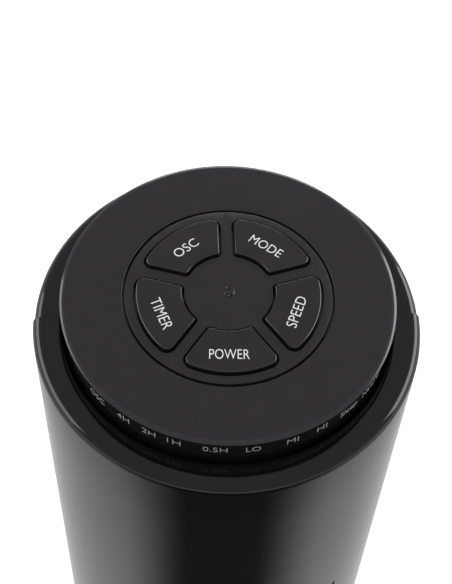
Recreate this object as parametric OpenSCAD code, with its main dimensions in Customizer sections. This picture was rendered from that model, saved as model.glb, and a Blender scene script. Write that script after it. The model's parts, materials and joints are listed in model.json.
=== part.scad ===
// Tower fan: a round glossy column that swivels on a weighted base, with a disc control panel on top.
// Millimetres, +Z up, front towards -Y, origin on the floor at the centre of the base.

/* [Column] */
// Height of the ring groove in the control panel above the floor
panel_z = 798; // [760:1:840]
// Outer radius of the front shell
column_r = 76.3; // [76:0.1:78]
// How much smaller the rear shell's radius is than the front shell's
rear_step = 0.6; // [0.3:0.1:0.8]
// Wall thickness of the two shells
shell_t = 2.4; // [2:0.1:2.6]
// Drop from the panel's groove to the flat shoulder
shoulder_drop = 14; // [12:0.5:16]
// Radius of the rounded edge between shoulder and wall
shoulder_edge = 4.3; // [3.5:0.1:5]

/* [Control panel] */
// Radius of the control disc
disc_r = 64.7; // [64.4:0.1:64.9]
// Radius of the ring groove between disc and button plate
groove_r = 40.4; // [40:0.1:41]
// Width of the ring groove
groove_w = 1; // [0.8:0.1:1.2]
// Inner radius of the buttons
button_in = 18; // [17:0.1:19]
// Outer radius of the buttons
button_out = 35.6; // [34.5:0.1:36]
// Half of the gap between two neighbouring buttons
button_gap = 3.1; // [2.8:0.1:3.6]
// Height of a button above the plate
button_rise = 1.6; // [1.5:0.1:2]
// Travel of a button
travel = 1.2; // [0.8:0.1:1.2]

/* [Fan] */
// Outer radius of the cross-flow impeller
impeller_r = 46; // [44:0.5:46]
// Number of impeller blades
blade_count = 24; // [20:1:28]
// Number of blade sections stacked along the impeller
sections = 5; // [4:1:6]
// Half angle of the front air outlet
outlet_half = 42; // [38:1:44]
// Half angle of the rear air intake
intake_half = 60; // [54:1:60]

/* [Base] */
// Radius of the round base
base_r = 140; // [136:1:150]
// Height of the flat top of the base
base_h = 48; // [48:1:50]
// Swing of the column to each side in degrees
swing = 40; // [30:1:42]

/* [Hidden] */
$fn = 96;

// Shared clearances
eps = 0.01;
gap = 0.3;
run = 0.05;
cut = 1;

// Screw sizes: shank radius, pilot hole radius, head radius, head height
screw_r = 1.5;
pilot_r = 1.6;
head_r = 3.2;
head_h = 2;
short_screw = 10;
long_screw = 14;

// Base levels and radii
foot_h = 3;
foot_pad_r = 8;
foot_ring_r = 116;
foot_count = 6;
plate_t = 3;
plate_top = foot_h + plate_t;
cover_t = 2.5;
cover_flat_r = 82;
cover_rim_h = 14;
// Centre and radius of the arc that runs from the flat top to the rim
cover_cz = (cover_flat_r^2 + base_h^2 - base_r^2 - cover_rim_h^2) / (2 * (base_h - cover_rim_h));
cover_arc_r = sqrt(base_r^2 + (cover_rim_h - cover_cz)^2);
base_screw_ring = 126;
base_screw_start = 30;
boss_r = 4.5;
boss_bore_h = 11;
hub_wall = 8;
ballast_in = 76;
ballast_out = 118;
ballast_t = 6;
inlet_z = 8;
inlet_bore = 3.2;
inlet_r = 4.6;
inlet_flange_r = 5.2;
inlet_flange_t = 1.5;

// Swivel: bush in the base, hollow spigot on the column foot, gear ring below
spigot_r = 38;
spigot_in = 33;
bush_t = 3;
flange_t = 2;
flange_r = 62;
column_z = base_h + flange_t + 1;
foot_z = base_h + flange_t + gap;
foot_t = 4;
hub_drop = 8;
ring_top = base_h - hub_drop - gap;
ring_t = 4;
ring_out = 48;
ring_in = 29;
spigot_screw_r = 35.5;
spigot_screw_angles = [180, 270, 360];
board_post_x = 38;
board_post_y = 22;
board_post_r = 3.5;
board_lift = 13.7;

// Swivel drive: module-1 gears
tooth_module = 1;
sector_teeth = 72;
pinion_teeth = 18;
pressure = 20;
backlash = 0.08;
tip_trim = 0.1;
gear_t = 5;
pinion_t = 4.5;
sector_pitch_r = tooth_module * sector_teeth / 2;
pinion_pitch_r = tooth_module * pinion_teeth / 2;
pinion_y = sector_pitch_r + pinion_pitch_r;
sector_half = 60;
sector_span = ceil((swing + 16) * sector_teeth / 360);
gear_z = ring_top - ring_t - gear_t;
osc_shaft_r = 2.5;
osc_can_r = 24;
osc_can_h = 18;
osc_top = gear_z - 4;
osc_ear_x = 30;
osc_ear_t = 2;
osc_nose_r = 6;
osc_nose_h = 2;
osc_shaft_depth = 11;

// Fan levels
mount_z = 134;
bulkhead_t = 4;
top_z = 652;
impeller_z = 144;
impeller_top = 646;
disc_t = 2;
blade_in = 36;
blade_t = 1;
blade_bow = 7;
blade_inset = 4.5;
hub_r = 12;
hub_sleeve_r = 16;
hub_h = 8;
spindle_hub_r = 10;
spindle_hub_h = 12;
spindle_l = 28;
shaft_r = 4;
window_z = 140;
window_h = 510;
duct_z = mount_z + bulkhead_t;
duct_h = top_z - duct_z;
duct_t = 2;
volute_start = 140;
volute_end = 226;
volute_r0 = impeller_r + 3;
volute_r1 = 71;
tongue_start = 335;
tongue_end = 315;
tongue_r0 = impeller_r + 3;
tongue_r1 = 70.5;

// Motor levels
motor_r = 36;
bracket_z = 88;
bracket_top = 128;
bracket_h = 12;
bracket_t = 2;
stator_in = 19.5;
stator_out = 33.5;
rotor_r = 19;
motor_bush_r = 8;
motor_bush_h = 6;
stator_inset = 10;
rotor_inset = 9;
winding_h = 5;
shaft_tail = 4;
grommet_ring = 30;
grommet_r = 5;
mount_hole_r = 18;
top_hub_r = 13;
top_bush_r = 9;
top_bush_h = 12;

// Electrics on the column foot
power_z = foot_z + board_lift;
power_size = [90, 56, 1.6];
parts_z = power_z + power_size[2] + eps;

// Shell screws: one at each side on each level
shell_screw_x = 54;
shell_boss_l = 14;
shell_web = 20.2;
shell_web_t = 3;
shell_wall_left = 4;
shell_screw_levels = [75, 122, 672, 742];

// Control cable: a flat ribbon in the space beside the volute
cable_angle = 205;
cable_in = 70.2;
cable_w = 10;
cable_t = 1.2;
cable_turn_z = 745;
cable_rise_r = 46;
cable_start_r = 48;

// Carry recess in the rear shell
handle_w = 96;
handle_z = 688;
handle_h = 50;
handle_y = 42;
handle_t = 2.5;
handle_mouth_half = 37.5;
lip_h = 14;

// Control panel
shoulder_z = panel_z - shoulder_drop;
hole_r = disc_r + 0.8;
rear_r = column_r - rear_step;
disc_in = groove_r + groove_w / 2;
plate_r = groove_r - groove_w / 2;
disc_fall = 0.15;
plate_crown = 516;
// The rim is an arc that falls rim_h over rim_w
rim_w = 2.2;
rim_h = 0.8;
rim_arc_r = (rim_w^2 + rim_h^2) / (2 * rim_h);
lip_t = 1.2;
disc_t_in = 4.5;
disc_edge_z = panel_z - disc_fall;
ledge_z = panel_z - 2.7;
ledge_in = 37.6;
ledge_t = 2;
skirt_r = 58.3;
skirt_t = 2;
skirt_h = 3;
housing_r = 61.5;
housing_t = 2.5;
housing_z = 750;
housing_flange_r = 72.8;
housing_flange_t = 3;
panel_post_ring = 46;
panel_post_r = 3.5;
band_in = housing_r + 0.2;
band_r = 63.9;
band_top = disc_edge_z - lip_t - 0.2;
band_h = 26;
board_z = panel_z - 18;
board_r = 55;
board_t = 1.6;
switch_r = 27;
switch_h = 3.5;
switch_side = 6;
switch_grip = 2;
stem_r = 1.7;
guide_r = 3;
flange_out = 1.2;
button_flange_t = 1.3;
corner = 2.4;
led_z = panel_z - 10;
led_size = [3.2, 3, 2.5];
led_r = 55.5;
led_hole_r = 1.2;
// One light behind each label: swing, four timer steps, three speeds and two modes
led_angles = [-141, -129, -119, -110, -96, -84, -70, -59, -48, -35];
led_strip_in = 53.5;
led_strip_h = 8;
receiver_angle = -83;
receiver_r = 48;
receiver_size = [4.5, 6, 7];
buzzer_r = 7;
buzzer_h = 8;

// ---------------------------------------------------------------- shared shapes

// A slice of pie in the XY plane from angle a0 to a1
function slice_points(a0, a1, r) = concat([[0, 0]], [for (i = [0:4])
  let (a = a0 + (a1 - a0) * i / 4) r * [cos(a), sin(a)]]);

// A spiral strip of constant thickness whose radius grows evenly with its angle
function spiral_side(a0, a1, r0, r1, extra) = [for (i = [0:12])
  let (a = a0 + (a1 - a0) * i / 12, r = r0 + (r1 - r0) * i / 12 + extra) r * [cos(a), sin(a)]];
function reversed(list) = [for (i = [len(list) - 1:-1:0]) list[i]];

module ring(inner, outer, z, h) {
  translate([0, 0, z]) difference() {
    cylinder(h = h, r = outer);
    translate([0, 0, -cut]) cylinder(h = h + 2 * cut, r = inner);
  }
}

module tube_slice(inner, outer, a0, a1, z, h) {
  translate([0, 0, z]) linear_extrude(h) intersection() {
    difference() {
      circle(outer);
      circle(inner);
    }
    polygon(slice_points(a0, a1, 2 * outer));
  }
}

module spiral_wall(a0, a1, r0, r1, t) {
  translate([0, 0, duct_z]) linear_extrude(duct_h)
    polygon(concat(spiral_side(a0, a1, r0, r1, 0), reversed(spiral_side(a0, a1, r0, r1, t))));
}

// A pan-head screw that points along +Z from its head, with the head's underside at z = 0
module screw(length) {
  translate([0, 0, -head_h]) cylinder(h = head_h, r = head_r, $fn = 32);
  translate([0, 0, -eps]) cylinder(h = length, r = screw_r, $fn = 24);
}

module around(count, radius, start = 0) {
  for (i = [0:count - 1]) rotate(start + i * 360 / count) translate([radius, 0, 0]) children();
}

// ---------------------------------------------------------------- gears

function involute_angle(a) = tan(a) * 180 / PI - a;
function flank_angle(r, teeth) =
  let (base = tooth_module * teeth / 2 * cos(pressure))
  90 / teeth - backlash / (tooth_module * teeth / 2) * 180 / PI / 2
  + involute_angle(pressure) - involute_angle(acos(min(1, base / max(r, base))));

module tooth(teeth) {
  pitch_r = tooth_module * teeth / 2;
  root = pitch_r - 1.25 * tooth_module;
  tip = pitch_r + tooth_module - tip_trim;
  radii = [root - 0.5, for (i = [0:4]) root + (tip - root) * i / 4];
  side = [for (r = radii) r * [cos(flank_angle(r, teeth)), sin(flank_angle(r, teeth))]];
  polygon(concat(side, reversed([for (p = side) [p[0], -p[1]]])));
}

// ---------------------------------------------------------------- base

// The cover's outline from the axis, inset by t
module cover_outline(t) {
  drop = t > 0 ? cut : 0;
  intersection() {
    translate([0, foot_h - drop]) square([base_r - t, base_h - foot_h - t + drop]);
    translate([0, cover_cz]) circle(cover_arc_r - t, $fn = 360);
  }
}

module base_plate() {
  color("#242426") difference() {
    union() {
      translate([0, 0, foot_h]) cylinder(h = plate_t, r = base_r - cover_t - gap);
      for (side = [-1, 1]) translate([side * osc_ear_x, pinion_y, foot_h])
        cylinder(h = osc_top - osc_ear_t - foot_h, r = boss_r, $fn = 32);
    }
    around(foot_count, base_screw_ring, base_screw_start) translate([0, 0, foot_h - cut]) {
      cylinder(h = plate_t + 2 * cut, r = pilot_r + gap, $fn = 32);
      cylinder(h = head_h + cut, r = head_r + gap, $fn = 32);
    }
    // Room for the cord inlet's inner flange
    translate([-inlet_flange_r - gap, base_r - 2 * cover_t - gap, foot_h - cut])
      cube([2 * (inlet_flange_r + gap), 2 * cover_t, plate_t + 2 * cut]);
    for (side = [-1, 1]) translate([side * osc_ear_x, pinion_y, plate_top])
      cylinder(h = osc_can_h + cut, r = pilot_r, $fn = 32);
  }
}

module base_cover() {
  color("#1a1a1c") difference() {
    union() {
      rotate_extrude($fn = 180) difference() {
        cover_outline(0);
        cover_outline(cover_t);
      }
      ring(spigot_r + bush_t, spigot_r + bush_t + hub_wall, base_h - hub_drop, hub_drop);
      intersection() {
        around(foot_count, base_screw_ring, base_screw_start) translate([0, 0, plate_top])
          cylinder(h = base_h, r = boss_r, $fn = 32);
        rotate_extrude($fn = 180) cover_outline(cover_t / 2);
      }
    }
    translate([0, 0, foot_h]) cylinder(h = base_h, r = spigot_r + bush_t);
    around(foot_count, base_screw_ring, base_screw_start) translate([0, 0, plate_top - cut])
      cylinder(h = boss_bore_h + cut, r = pilot_r, $fn = 24);
    translate([0, base_r - 2 * cover_t, inlet_z]) rotate([-90, 0, 0])
      cylinder(h = 3 * cover_t, r = inlet_r, $fn = 48);
  }
}

module ballast_plate() {
  color("#77787a") ring(ballast_in, ballast_out, plate_top, ballast_t);
}

module rubber_feet() {
  color("#101010") around(foot_count, foot_ring_r) cylinder(h = foot_h, r = foot_pad_r, $fn = 48);
}

module base_screws() {
  color("#8a8b8d") around(foot_count, base_screw_ring, base_screw_start)
    translate([0, 0, foot_h + head_h]) screw(short_screw);
}

module cord_inlet() {
  color("#141414") translate([0, base_r - 2 * cover_t, inlet_z]) rotate([-90, 0, 0]) difference() {
    union() {
      cylinder(h = 2 * cover_t - gap, r = inlet_r - run, $fn = 48);
      cylinder(h = inlet_flange_t, r = inlet_flange_r, $fn = 48);
    }
    translate([0, 0, -cut]) cylinder(h = 2 * cover_t + 2 * cut, r = inlet_bore, $fn = 48);
  }
}

module swivel_bush() {
  color("#d8d6cc") {
    ring(spigot_r + run, spigot_r + bush_t, base_h - hub_drop, hub_drop + flange_t);
    ring(spigot_r + bush_t - eps, flange_r, base_h, flange_t);
  }
}

module osc_motor() {
  color("#9a9b9d") translate([0, pinion_y, 0]) difference() {
    union() {
      translate([0, 0, osc_top - osc_can_h]) cylinder(h = osc_can_h, r = osc_can_r);
      translate([0, 0, osc_top - eps]) cylinder(h = osc_nose_h, r = osc_nose_r);
      translate([-osc_ear_x, -boss_r, osc_top - osc_ear_t]) cube([2 * osc_ear_x, 2 * boss_r, osc_ear_t]);
      for (side = [-1, 1]) translate([side * osc_ear_x, 0, osc_top - osc_ear_t])
        cylinder(h = osc_ear_t, r = boss_r, $fn = 32);
    }
    translate([0, 0, osc_top - osc_shaft_depth - cut])
      cylinder(h = osc_can_h, r = osc_shaft_r + run);
    for (side = [-1, 1]) translate([side * osc_ear_x, 0, osc_top - 2 * osc_ear_t])
      cylinder(h = 4 * osc_ear_t, r = pilot_r, $fn = 32);
  }
}

module osc_motor_screws() {
  color("#8a8b8d") for (side = [-1, 1]) translate([side * osc_ear_x, pinion_y, osc_top])
    rotate([180, 0, 0]) screw(short_screw);
}

module osc_pinion() {
  color("#e2dfd2") translate([0, pinion_y, gear_z]) difference() {
    union() {
      cylinder(h = pinion_t, r = pinion_pitch_r - 1.25 * tooth_module);
      // The gap between two teeth faces the sector's middle tooth
      linear_extrude(pinion_t) for (i = [0:pinion_teeth - 1])
        rotate(270 + (i + 0.5) * 360 / pinion_teeth) tooth(pinion_teeth);
    }
    translate([0, 0, -cut]) cylinder(h = pinion_t + 2 * cut, r = osc_shaft_r);
  }
}

module osc_shaft() {
  color("#b9babc") translate([0, pinion_y, osc_top - osc_shaft_depth])
    cylinder(h = gear_z + pinion_t - osc_top + osc_shaft_depth, r = osc_shaft_r);
}

// ---------------------------------------------------------------- swivelling column: foot and drive

module column_foot() {
  color("#242426") difference() {
    union() {
      translate([0, 0, foot_z]) cylinder(h = foot_t, r = rear_r - shell_t);
      translate([0, 0, ring_top]) cylinder(h = foot_z - ring_top + foot_t, r = spigot_r);
      for (x = [-1, 1], y = [-1, 1]) translate([x * board_post_x, y * board_post_y, foot_z])
        cylinder(h = board_lift, r = board_post_r, $fn = 32);
    }
    translate([0, 0, ring_top - cut]) cylinder(h = 2 * hub_drop + foot_t + 2 * cut, r = spigot_in);
    for (a = spigot_screw_angles) rotate(a) translate([spigot_screw_r, 0, ring_top - cut])
      cylinder(h = short_screw, r = pilot_r, $fn = 24);
  }
}

module swivel_gear() {
  color("#e2dfd2") difference() {
    union() {
      ring(ring_in, ring_out, ring_top - ring_t, ring_t);
      translate([0, 0, gear_z]) linear_extrude(gear_t + eps) {
        intersection() {
          difference() {
            circle(sector_pitch_r - 1.25 * tooth_module, $fn = 180);
            circle(ring_in);
          }
          polygon(slice_points(90 - sector_half, 90 + sector_half, 2 * sector_pitch_r));
        }
        for (i = [-sector_span:sector_span]) rotate(90 + i * 360 / sector_teeth) tooth(sector_teeth);
      }
    }
    for (a = spigot_screw_angles) rotate(a) translate([spigot_screw_r, 0, ring_top - ring_t - cut])
      cylinder(h = ring_t + 2 * cut, r = pilot_r, $fn = 24);
  }
}

module swivel_screws() {
  color("#8a8b8d") for (a = spigot_screw_angles) rotate(a)
    translate([spigot_screw_r, 0, ring_top - ring_t]) screw(short_screw);
}

// ---------------------------------------------------------------- shells and grilles

// A shell's outline from the axis: straight wall, rounded edge and flat shoulder
module shell_outline(r, bottom, top, edge) {
  translate([0, bottom]) square([r, top - edge - bottom]);
  translate([0, bottom]) square([r - edge, top - bottom]);
  translate([r - edge, top - edge]) circle(edge, $fn = 72);
}

module shell_body(r) {
  rotate_extrude($fn = 180) difference() {
    shell_outline(r, column_z, shoulder_z, shoulder_edge);
    shell_outline(r - shell_t, column_z - cut, shoulder_z - shell_t, shoulder_edge - shell_t);
    square([hole_r, 2 * panel_z]);
  }
}

module front_shell() {
  color("#0e0e10") difference() {
    union() {
      intersection() {
        shell_body(column_r);
        translate([-2 * column_r, -4 * column_r, 0]) cube([4 * column_r, 4 * column_r, 2 * panel_z]);
      }
      for (side = [-1, 1], z = shell_screw_levels)
        translate([side * shell_screw_x, -shell_boss_l, z]) {
          rotate([-90, 0, 0]) cylinder(h = shell_boss_l, r = boss_r, $fn = 32);
          translate([(side - 1) * shell_web / 2, 0, -shell_web_t / 2])
            cube([shell_web, shell_boss_l, shell_web_t]);
        }
    }
    translate([0, 0, window_z]) linear_extrude(window_h)
      polygon(slice_points(270 - outlet_half, 270 + outlet_half, 2 * column_r));
    for (side = [-1, 1], z = shell_screw_levels)
      translate([side * shell_screw_x, 2 - shell_boss_l, z])
        rotate([-90, 0, 0]) cylinder(h = shell_boss_l, r = pilot_r, $fn = 24);
  }
}

module rear_shell() {
  color("#0e0e10") difference() {
    union() {
      intersection() {
        shell_body(rear_r);
        translate([-2 * column_r, eps, 0]) cube([4 * column_r, 4 * column_r, 2 * panel_z]);
      }
      intersection() {
        for (side = [-1, 1], z = shell_screw_levels) translate([side * shell_screw_x, eps, z])
          rotate([-90, 0, 0]) cylinder(h = column_r, r = boss_r, $fn = 32);
        translate([0, 0, column_z]) cylinder(h = panel_z - column_z, r = rear_r - shell_t / 2);
      }
    }
    translate([0, 0, window_z]) linear_extrude(window_h)
      polygon(slice_points(90 - intake_half, 90 + intake_half, 2 * column_r));
    // The mouth of the carry recess stays below its lip
    translate([0, 0, handle_z + handle_t]) linear_extrude(handle_h - 2 * handle_t - lip_h)
      polygon(slice_points(90 - handle_mouth_half, 90 + handle_mouth_half, 2 * column_r));
    for (side = [-1, 1], z = shell_screw_levels)
      translate([side * shell_screw_x, -cut, z]) rotate([-90, 0, 0]) {
        cylinder(h = column_r, r = pilot_r + 0.2, $fn = 24);
        translate([0, 0, shell_wall_left + cut]) cylinder(h = column_r, r = head_r + gap, $fn = 32);
      }
  }
}

// A curved grille: a frame, upright bars at an even pitch, and a few cross rings
module curved_grille(middle, half, r, depth, bars, bar_t, rings) {
  frame_a = 3.2;
  frame_h = 5;
  ring_h = 2;
  fit = 0.25;
  a0 = middle - half + fit;
  a1 = middle + half - fit;
  for (edge = [[a0, a0 + frame_a], [a1 - frame_a, a1]])
    tube_slice(r - depth / 2, r, edge[0], edge[1], window_z + gap, window_h - 2 * gap);
  for (z = [window_z + gap, window_z + window_h - gap - frame_h])
    tube_slice(r - depth / 2, r, a0, a1, z, frame_h);
  for (i = [1:rings]) tube_slice(r - depth, r - depth * 0.6, a0, a1,
    window_z + window_h * i / (rings + 1) - ring_h / 2, ring_h);
  for (i = [1:bars]) rotate(a0 + frame_a / 2 + (a1 - a0 - frame_a) * i / (bars + 1))
    translate([r - depth, -bar_t / 2, window_z + 2]) cube([depth - 0.3, bar_t, window_h - 4]);
}

module front_grille() {
  color("#151517") curved_grille(270, outlet_half, column_r - 0.5, 5.5, 19, 1.8, 4);
}

module rear_grille() {
  color("#151517") curved_grille(90, intake_half, rear_r - 0.4, 4, 27, 1.8, 7);
}

module volute_wall() {
  color("#2a2a2c") spiral_wall(volute_start, volute_end, volute_r0, volute_r1, duct_t);
}

module tongue_wall() {
  color("#2a2a2c") spiral_wall(tongue_start, tongue_end, tongue_r0, tongue_r1, duct_t);
}

module carry_handle() {
  color("#1d1d1f") difference() {
    intersection() {
      translate([-handle_w / 2, handle_y, handle_z]) cube([handle_w, column_r, handle_h]);
      cylinder(h = panel_z, r = rear_r - shell_t);
    }
    translate([-handle_w / 2 + handle_t, handle_y + handle_t, handle_z + handle_t])
      cube([handle_w - 2 * handle_t, column_r, handle_h - 2 * handle_t]);
  }
}

module shell_screws() {
  color("#3a3a3c") for (side = [-1, 1], z = shell_screw_levels)
    translate([side * shell_screw_x, shell_wall_left, z]) rotate([90, 0, 0]) screw(long_screw);
}

// ---------------------------------------------------------------- motor and electrics in the column

module cable_notch(z) {
  rotate(cable_angle) translate([cable_in - 1.5, -cable_w / 2 - 1, z]) cube([12, cable_w + 2, 12]);
}

module bulkhead(z) {
  difference() {
    translate([0, 0, z]) cylinder(h = bulkhead_t, r = rear_r - shell_t);
    cable_notch(z - 4);
  }
}

module motor_mount() {
  color("#2a2a2c") difference() {
    bulkhead(mount_z);
    translate([0, 0, mount_z - cut]) cylinder(h = bulkhead_t + 2 * cut, r = mount_hole_r);
    around(3, grommet_ring, 90) translate([0, 0, mount_z - cut]) {
      cylinder(h = bulkhead_t + 2 * cut, r = pilot_r, $fn = 24);
      translate([0, 0, bulkhead_t - head_h + cut]) cylinder(h = head_h + cut, r = head_r + gap, $fn = 32);
    }
  }
}

module motor_grommets() {
  color("#161616") around(3, grommet_ring, 90)
    ring(pilot_r, grommet_r, bracket_top, mount_z - bracket_top);
}

module motor_screws() {
  color("#8a8b8d") around(3, grommet_ring, 90) translate([0, 0, mount_z + bulkhead_t - head_h])
    rotate([180, 0, 0]) screw(short_screw);
}

// An end bracket: a cup with a hub for its bush, open towards +Z from z = 0
module end_bracket() {
  difference() {
    cylinder(h = bracket_h, r = motor_r);
    translate([0, 0, bracket_t]) cylinder(h = bracket_h, r = motor_r - bracket_t);
    translate([0, 0, -cut]) cylinder(h = bracket_h, r = motor_bush_r);
    around(3, grommet_ring, 90) translate([0, 0, -cut])
      cylinder(h = bracket_t + 2 * cut, r = pilot_r, $fn = 24);
  }
  ring(motor_bush_r, motor_bush_r + bracket_t, 0, motor_bush_h);
}

module motor_upper_bracket() {
  color("#b0b1b3") translate([0, 0, bracket_top]) mirror([0, 0, 1]) end_bracket();
}

module motor_lower_bracket() {
  color("#b0b1b3") translate([0, 0, bracket_z]) end_bracket();
}

module motor_stator() {
  color("#6f7072") ring(stator_in, stator_out, bracket_z + stator_inset,
    bracket_top - bracket_z - 2 * stator_inset);
}

module motor_windings() {
  color("#b0682c") for (z = [bracket_z + stator_inset - winding_h, bracket_top - stator_inset + eps])
    ring(stator_in + 2, stator_out - 3, z, winding_h - eps);
}

module motor_bushes() {
  color("#b5a36a") for (z = [bracket_z, bracket_top - motor_bush_h])
    ring(shaft_r + run, motor_bush_r, z, motor_bush_h);
}

module power_board() {
  transformer = [24, 20, 15];
  relay = [16, 12, 12];
  terminals = [10, 26, 10];
  color("#2f6b3c") translate([-power_size[0] / 2, -power_size[1] / 2, power_z]) {
    cube(power_size);
    translate([6, 8, power_size[2] - eps]) cube(transformer);
    translate([6, 34, power_size[2] - eps]) cube(relay);
    translate([74, 6, power_size[2] - eps]) cube(terminals);
  }
}

module run_capacitor() {
  capacitor = [36, 14, 16];
  color("#e8e6de") translate([-9, -15, parts_z]) cube(capacitor);
}

module motor_cable() {
  color("#1a1a1a") translate([24, 16, parts_z]) cylinder(h = bracket_z - parts_z - eps, r = 2.2, $fn = 24);
}

// Radial and upright runs of the ribbon, joined into one strip
module control_cable() {
  low = foot_z + 16;
  high = cable_turn_z - cable_t;
  end_r = cable_in + cable_t;
  color("#d9d9d6") rotate(cable_angle) translate([0, -cable_w / 2, 0]) {
    translate([cable_start_r, 0, low]) cube([end_r - cable_start_r, cable_w, cable_t]);
    translate([cable_in, 0, low]) cube([cable_t, cable_w, cable_turn_z - low]);
    translate([cable_rise_r, 0, high]) cube([end_r - cable_rise_r, cable_w, cable_t]);
    translate([cable_rise_r, 0, high]) cube([cable_t, cable_w, board_z - high - gap]);
  }
}

module top_bulkhead() {
  color("#2a2a2c") difference() {
    union() {
      bulkhead(top_z);
      translate([0, 0, top_z]) cylinder(h = top_bush_h, r = top_hub_r);
    }
    translate([0, 0, top_z - cut]) cylinder(h = top_bush_h + 2 * cut, r = top_bush_r);
  }
}

module top_bearing() {
  color("#b5a36a") ring(shaft_r + run, top_bush_r, top_z, top_bush_h);
}

// ---------------------------------------------------------------- impeller

module blade() {
  // A thin curved strip between the inner and outer blade circles
  intersection() {
    difference() {
      translate([blade_in + blade_inset, -blade_bow]) circle(blade_bow + blade_t / 2, $fn = 48);
      translate([blade_in + blade_inset, -blade_bow]) circle(blade_bow - blade_t / 2, $fn = 48);
      translate([blade_in - blade_bow, -4 * blade_bow]) square([4 * blade_bow, 3.4 * blade_bow]);
    }
    difference() {
      circle(impeller_r - 0.3);
      circle(blade_in);
    }
  }
}

module impeller() {
  pitch = (impeller_top - impeller_z - disc_t) / sections;
  color("#3b3b3d") {
    translate([0, 0, impeller_z]) linear_extrude(impeller_top - impeller_z)
      for (i = [0:blade_count - 1]) rotate(i * 360 / blade_count) blade();
    ring(hub_r, impeller_r, impeller_z, disc_t);
    ring(hub_r, hub_sleeve_r, impeller_z + disc_t - eps, hub_h);
    for (i = [1:sections - 1]) ring(blade_in - 4, impeller_r, impeller_z + i * pitch, disc_t);
    ring(shaft_r, impeller_r, impeller_top - disc_t, disc_t);
    ring(shaft_r, spindle_hub_r, impeller_top - spindle_hub_h, spindle_hub_h - disc_t + eps);
  }
}

module coupling_bush() {
  color("#1b1b1b") ring(shaft_r, hub_r, impeller_z - 1, hub_h + 3);
}

module motor_shaft() {
  color("#b9babc") translate([0, 0, bracket_z - shaft_tail])
    cylinder(h = impeller_z + hub_h + 2 - bracket_z + shaft_tail, r = shaft_r);
}

module motor_rotor() {
  color("#8d8e90") ring(shaft_r, rotor_r, bracket_z + rotor_inset,
    bracket_top - bracket_z - 2 * rotor_inset);
}

module top_spindle() {
  color("#b9babc") translate([0, 0, impeller_top - spindle_hub_h]) cylinder(h = spindle_l, r = shaft_r);
}

// ---------------------------------------------------------------- control panel

module control_housing() {
  color("#1c1c1e") difference() {
    union() {
      translate([0, 0, housing_z]) cylinder(h = band_top - housing_z - 1, r = housing_r);
      translate([0, 0, housing_z]) cylinder(h = housing_flange_t, r = housing_flange_r);
      // Seat of the display band
      ring(housing_r - 1, band_r - 0.5, band_top - band_h - 2 - run, 2);
    }
    translate([0, 0, housing_z + housing_t]) cylinder(h = panel_z, r = housing_r - housing_t);
    for (a = led_angles) rotate(a) translate([housing_r - 2 * housing_t, 0, led_z]) rotate([0, 90, 0])
      cylinder(h = 4 * housing_t, r = led_hole_r, $fn = 24);
    rotate(cable_angle) translate([cable_rise_r - 1, -cable_w / 2 - 1, housing_z - cut])
      cube([cable_t + 2, cable_w + 2, 2 * housing_flange_t]);
  }
  color("#1c1c1e") around(4, panel_post_ring, 45)
    ring(pilot_r, panel_post_r, housing_z + housing_t - eps, board_z - housing_z - housing_t);
}

module display_band() {
  color("#060607") ring(band_in, band_r, band_top - band_h, band_h);
}

module leds() {
  color("#f2f2ee") for (a = led_angles) rotate(a)
    translate([led_r, -led_size[1] / 2, led_z - led_size[2] / 2]) cube(led_size);
}

module control_board() {
  color("#2f6b3c") difference() {
    union() {
      translate([0, 0, board_z]) cylinder(h = board_t, r = board_r);
      // Upright strip that carries the lights
      tube_slice(led_strip_in, led_r, led_angles[0] - 8, led_angles[9] + 8,
        board_z + board_t - eps, led_strip_h);
    }
    around(4, panel_post_ring, 45) translate([0, 0, board_z - cut])
      cylinder(h = board_t + 2 * cut, r = pilot_r, $fn = 24);
    rotate(cable_angle) translate([cable_rise_r - 1, -cable_w / 2 - 1, board_z - cut])
      cube([cable_t + 2, cable_w + 2, board_t + 2 * cut]);
  }
}

module tact_switches() {
  color("#c9cacc") around(5, switch_r, 270) translate([0, 0, board_z + board_t]) difference() {
    translate([-switch_side / 2, -switch_side / 2, 0]) cube([switch_side, switch_side, switch_h]);
    translate([0, 0, switch_h - switch_grip - travel])
      cylinder(h = 2 * switch_h, r = stem_r + run, $fn = 32);
  }
}

module ir_receiver() {
  color("#231a1a") rotate(receiver_angle)
    translate([receiver_r, -receiver_size[1] / 2, board_z + board_t]) cube(receiver_size);
}

module buzzer() {
  color("#111111") translate([0, 0, board_z + board_t]) difference() {
    cylinder(h = buzzer_h, r = buzzer_r);
    translate([0, 0, buzzer_h - 2]) cylinder(h = 4, r = 1.3, $fn = 24);
  }
}

// Half-section of the disc's ring: a thick inner part, a thin lip and an arc-shaped rim
module disc_outline() {
  bottom = panel_z - disc_t_in;
  lip_z = disc_edge_z - lip_t;
  rim_in = disc_r - rim_w;
  polygon([[disc_in, bottom], [skirt_r, bottom], [skirt_r, lip_z], [rim_in, lip_z],
    [rim_in, disc_edge_z], [disc_in, panel_z]]);
  translate([rim_in - eps, lip_z]) square([rim_w + eps, lip_t - rim_h]);
  intersection() {
    translate([rim_in, disc_edge_z - rim_arc_r]) circle(rim_arc_r, $fn = 180);
    translate([rim_in - eps, lip_z]) square([rim_w + eps, lip_t]);
  }
}

module control_disc() {
  color("#343236") {
    rotate_extrude($fn = 180) disc_outline();
    // Ledge for the button plate and the skirt that clips into the housing
    ring(ledge_in, disc_in + 2 * ledge_t, ledge_z - ledge_t, ledge_t);
    ring(skirt_r - skirt_t, skirt_r, panel_z - disc_t_in - skirt_h, skirt_h + eps);
  }
}

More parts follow.
